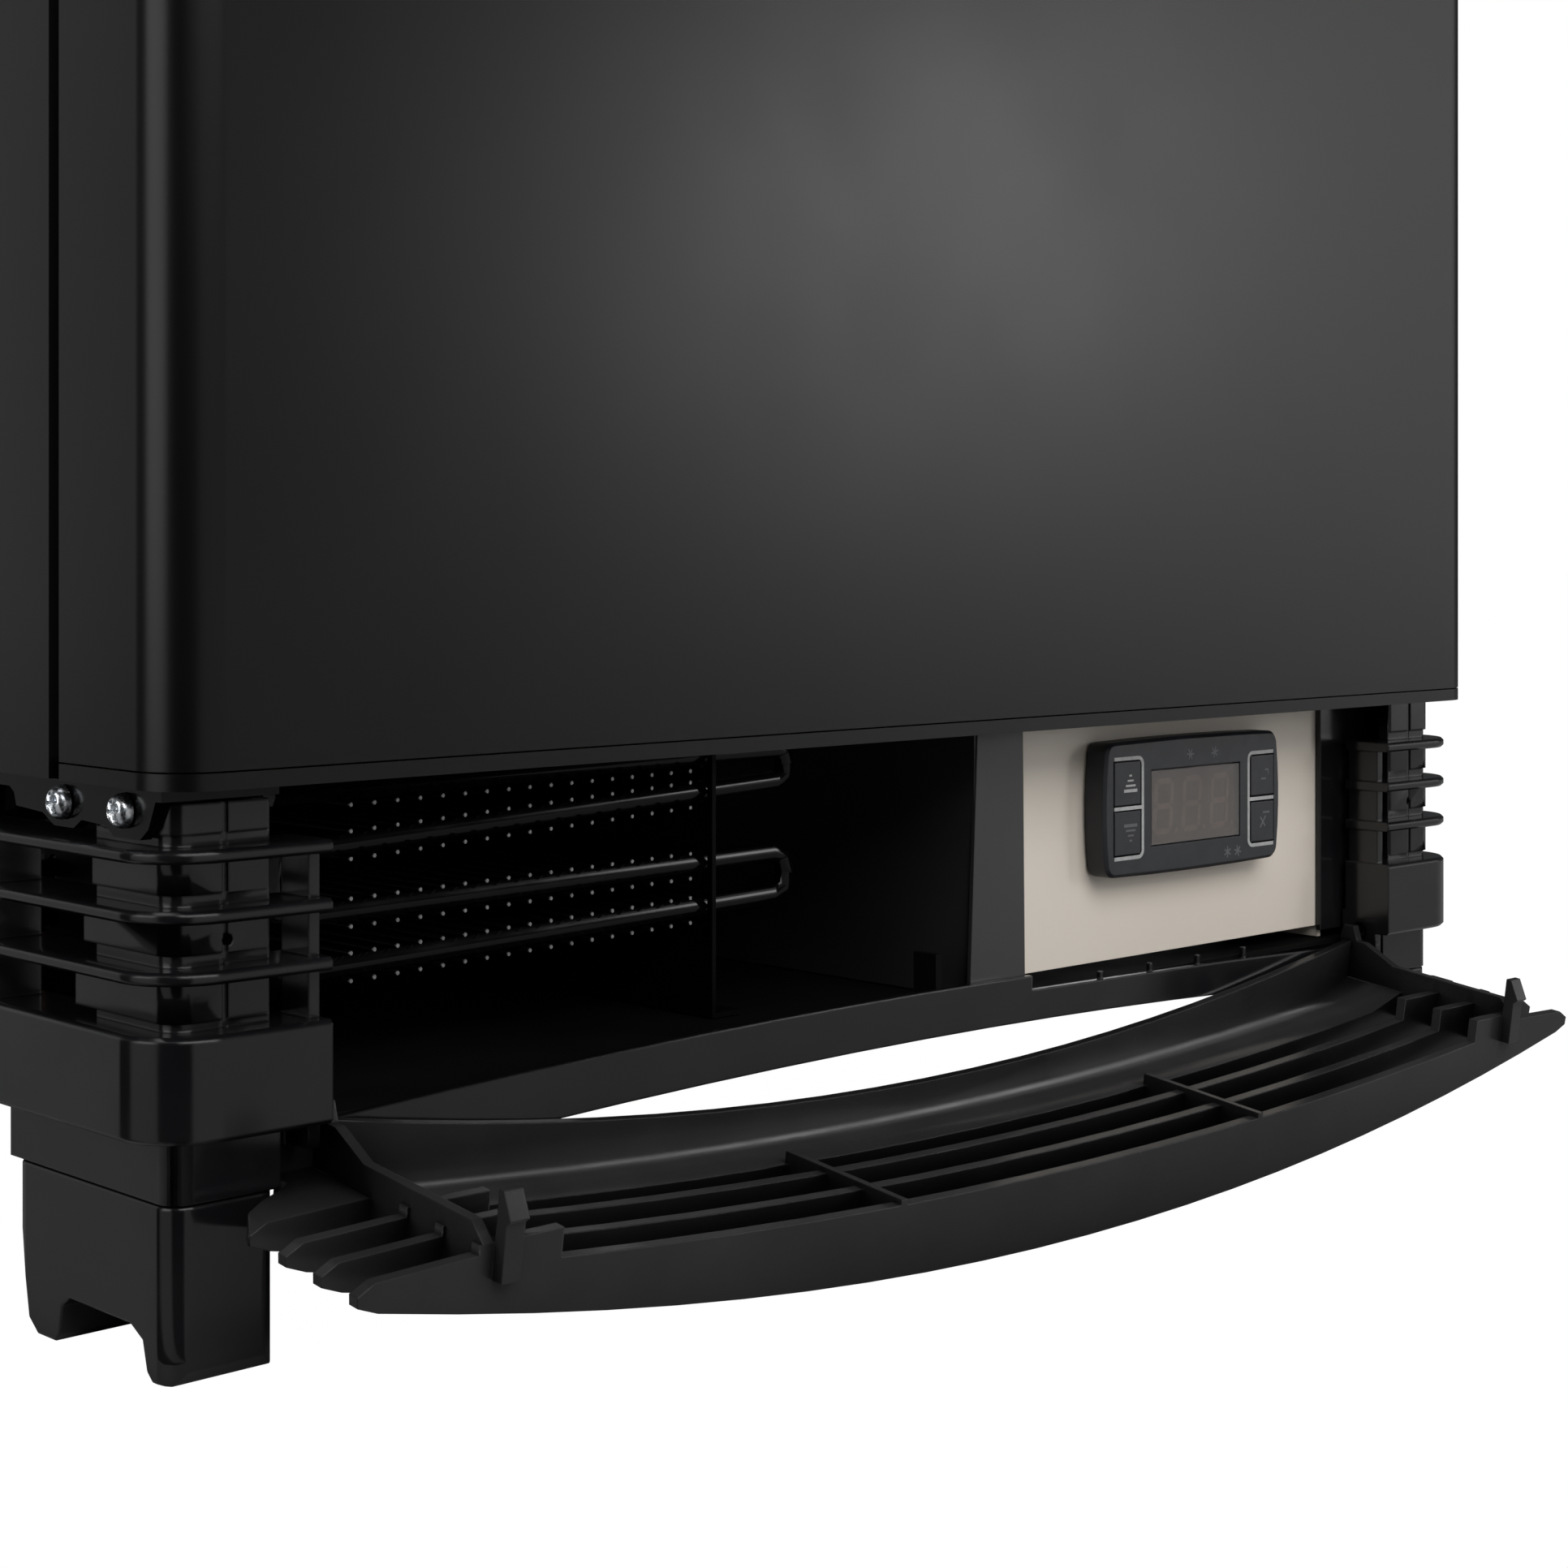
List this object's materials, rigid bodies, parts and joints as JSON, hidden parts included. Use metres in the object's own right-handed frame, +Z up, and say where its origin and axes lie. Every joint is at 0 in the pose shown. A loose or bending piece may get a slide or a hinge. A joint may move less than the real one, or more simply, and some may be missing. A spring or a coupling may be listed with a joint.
{
  "type": "refrigerated cabinet",
  "caption": "Compact refrigerated cabinet with a solid side-hung door, bottom machine bay, drop-down curved front grille and a digital thermostat.",
  "frame": {"origin": "centre of the footprint box at floor level, with the grille hanging open", "axes": "+Z up, +Y from the door towards the back, +X to the right seen from the front"},
  "size_m": [0.43, 0.5232, 0.69],
  "materials": {
    "gloss_black_moulding": "moulded gloss black",
    "satin_black_moulding": "fine satin texture",
    "satin_black_paint": "satin powder coat",
    "zinc_plate": "bright zinc plate",
    "galvanised_sheet": "dull galvanised",
    "white_liner": "vacuum formed white",
    "foam": "rigid foam",
    "shelf_wire": "white coated wire",
    "bare_aluminium": "plain",
    "fan_plastic": "satin",
    "lamp_diffuser": "milky",
    "black_rubber": "matte",
    "cream_panel": "satin cream paint",
    "controller_grey": "fine matte",
    "smoked_window": "smoked, unlit",
    "copper_tube": "bare copper"
  },
  "bodies": {
    "cabinet": {"plinth_moulding": "gloss_black_moulding", "foot_front_left": "gloss_black_moulding", "foot_front_right": "gloss_black_moulding", "foot_rear_left": "gloss_black_moulding", "foot_rear_right": "gloss_black_moulding", "top_cover": "satin_black_moulding", "cord_gland": "satin_black_moulding", "evaporator_fan_motor": "satin_black_moulding", "condenser_fan_motor": "satin_black_moulding", "compressor_terminal_cover": "satin_black_moulding", "drip_tray": "satin_black_moulding", "outer_wrap": "satin_black_paint", "base_tray": "satin_black_paint", "hinge_bracket_lower": "satin_black_paint", "hinge_bracket_upper": "satin_black_paint", "control_divider": "satin_black_paint", "rear_cover": "satin_black_paint", "condenser_bracket_left": "satin_black_paint", "condenser_bracket_right": "satin_black_paint", "condenser_coil": "satin_black_paint", "compressor_shell": "satin_black_paint", "compressor_plate": "satin_black_paint", "hinge_screw_1": "zinc_plate", "hinge_screw_2": "zinc_plate", "rear_screw_1": "zinc_plate", "rear_screw_2": "zinc_plate", "rear_panel": "galvanised_sheet", "bottom_deck": "galvanised_sheet", "condenser_fan_shroud": "galvanised_sheet", "inner_liner": "white_liner", "evaporator_cover": "white_liner", "cabinet_insulation": "foam", "shelf_1": "shelf_wire", "shelf_2": "shelf_wire", "evaporator_coil": "bare_aluminium", "interior_lamp": "lamp_diffuser", "compressor_grommet_1": "black_rubber", "compressor_grommet_2": "black_rubber", "compressor_grommet_3": "black_rubber", "compressor_grommet_4": "black_rubber", "control_plate": "cream_panel", "controller_body": "controller_grey", "controller_display": "smoked_window", "discharge_tube": "copper_tube", "suction_tube": "copper_tube", "filter_drier": "copper_tube"},
    "door": {"door_skin": "satin_black_paint", "door_insulation": "foam", "door_cap_bottom": "satin_black_moulding", "door_cap_top": "satin_black_moulding", "door_liner": "white_liner", "door_gasket": "black_rubber", "door_handle": "satin_black_moulding"},
    "grille": {"front_grille": "gloss_black_moulding"},
    "key_up": {"button_up": "controller_grey"},
    "key_down": {"button_down": "controller_grey"},
    "key_set": {"button_set": "controller_grey"},
    "key_aux": {"button_aux": "controller_grey"},
    "condenser_rotor": {"condenser_fan_rotor": "fan_plastic"},
    "evaporator_rotor": {"evaporator_fan_rotor": "fan_plastic"}
  },
  "joints": [
    {"name": "door_hinge", "type": "hinge", "parent": "cabinet", "child": "door", "pos_m": [-0.203, -0.19853, 0.39], "axis": [0, 0, -1], "range_deg": [0, 110]},
    {"name": "grille_hinge", "type": "hinge", "parent": "cabinet", "child": "grille", "pos_m": [0, -0.20453, 0.046], "axis": [-1, 0, 0], "range_deg": [0, 97.5]},
    {"name": "key_up_press", "type": "slide", "parent": "cabinet", "child": "key_up", "axis": [0, 1, 0], "range_m": [0, 0.0006], "stiffness_N_per_m": 900},
    {"name": "key_down_press", "type": "slide", "parent": "cabinet", "child": "key_down", "axis": [0, 1, 0], "range_m": [0, 0.0006], "stiffness_N_per_m": 900},
    {"name": "key_set_press", "type": "slide", "parent": "cabinet", "child": "key_set", "axis": [0, 1, 0], "range_m": [0, 0.0006], "stiffness_N_per_m": 900},
    {"name": "key_aux_press", "type": "slide", "parent": "cabinet", "child": "key_aux", "axis": [0, 1, 0], "range_m": [0, 0.0006], "stiffness_N_per_m": 900},
    {"name": "condenser_fan_spin", "type": "hinge", "parent": "cabinet", "child": "condenser_rotor", "pos_m": [-0.092, 0.10146, 0.128], "axis": [0, 1, 0], "continuous": true},
    {"name": "evaporator_fan_spin", "type": "hinge", "parent": "cabinet", "child": "evaporator_rotor", "pos_m": [0, 0.19947, 0.56], "axis": [0, 1, 0], "continuous": true}
  ]
}
